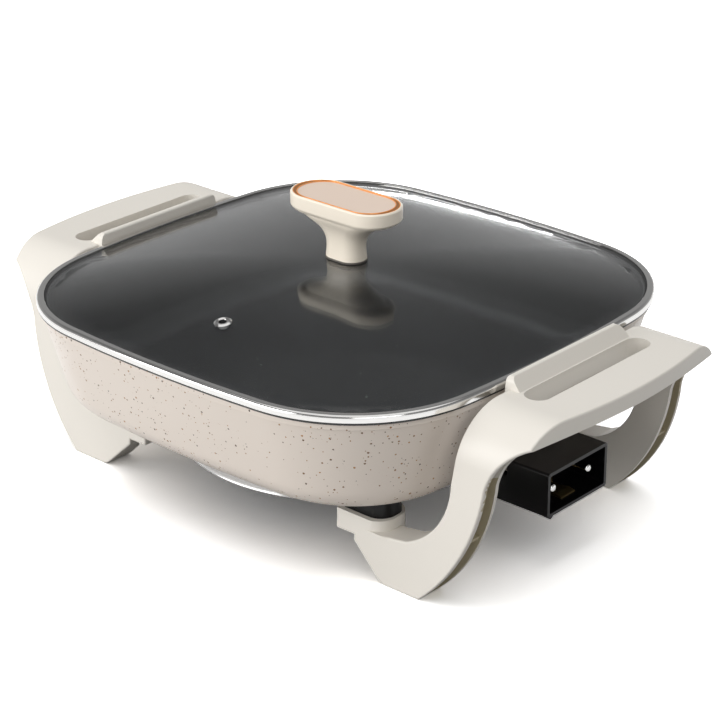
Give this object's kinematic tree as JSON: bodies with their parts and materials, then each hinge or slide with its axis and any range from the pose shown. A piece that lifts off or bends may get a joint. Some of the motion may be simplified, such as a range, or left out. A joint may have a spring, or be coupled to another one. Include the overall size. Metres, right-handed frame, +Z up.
{
  "type": "electric skillet",
  "caption": "Square electric skillet on four moulded legs, with slotted side handles, a plug-in heat control socket and a lift-off domed glass lid with a long knob.",
  "frame": {"origin": "on the floor under the middle of the pan", "axes": "+Z up, +X from the middle of the pan towards the power socket, -Y towards the side with the steam vent"},
  "size_m": [0.406, 0.3, 0.1658],
  "materials": {
    "pan_coating": "die-cast, satin ceramic coating, cream with fine brown specks outside, dark grey inside",
    "element_steel": "dull sheath",
    "steel": "zinc plated",
    "cover_aluminium": "bright pressed sheet",
    "black_gloss": "gloss moulding",
    "pin_metal": "polished",
    "contact_brass": "bare",
    "cream_moulding": "fine satin moulding",
    "black_moulding": "matt heat-proof moulding",
    "lid_glass": "clear tempered glass",
    "rim_steel": "polished stainless",
    "ivory_gloss": "soft gloss moulding",
    "copper_trim": "copper coloured",
    "beige_inset": "plain satin",
    "black_rubber": "silicone"
  },
  "bodies": {
    "skillet": {"pan": "pan_coating", "heating_element": "element_steel", "element_clamps": "steel", "clamp_screws": "steel", "heater_cover": "cover_aluminium", "cover_washer": "steel", "cover_screw": "steel", "socket_housing": "black_gloss", "contact_pin_front": "pin_metal", "contact_pin_rear": "pin_metal", "probe_sleeve": "steel", "earth_contact": "contact_brass", "socket_screws": "steel", "right_bracket": "cream_moulding", "left_bracket": "cream_moulding", "spacer_front_right": "black_moulding", "spacer_rear_right": "black_moulding", "spacer_front_left": "black_moulding", "spacer_rear_left": "black_moulding", "bracket_screws": "steel", "bracket_washers": "steel"},
    "lid": {"lid_glass": "lid_glass", "lid_rim": "rim_steel", "vent_grommet": "rim_steel", "knob_body": "ivory_gloss", "knob_ring": "copper_trim", "knob_inset": "beige_inset", "knob_gasket": "black_rubber", "knob_insert": "contact_brass", "knob_seal": "black_rubber", "knob_washer": "steel", "knob_screw": "steel"}
  },
  "joints": [
    {"name": "lid_lift", "type": "slide", "parent": "skillet", "child": "lid", "axis": [0, 0, 1], "range_m": [0, 0.15]}
  ]
}
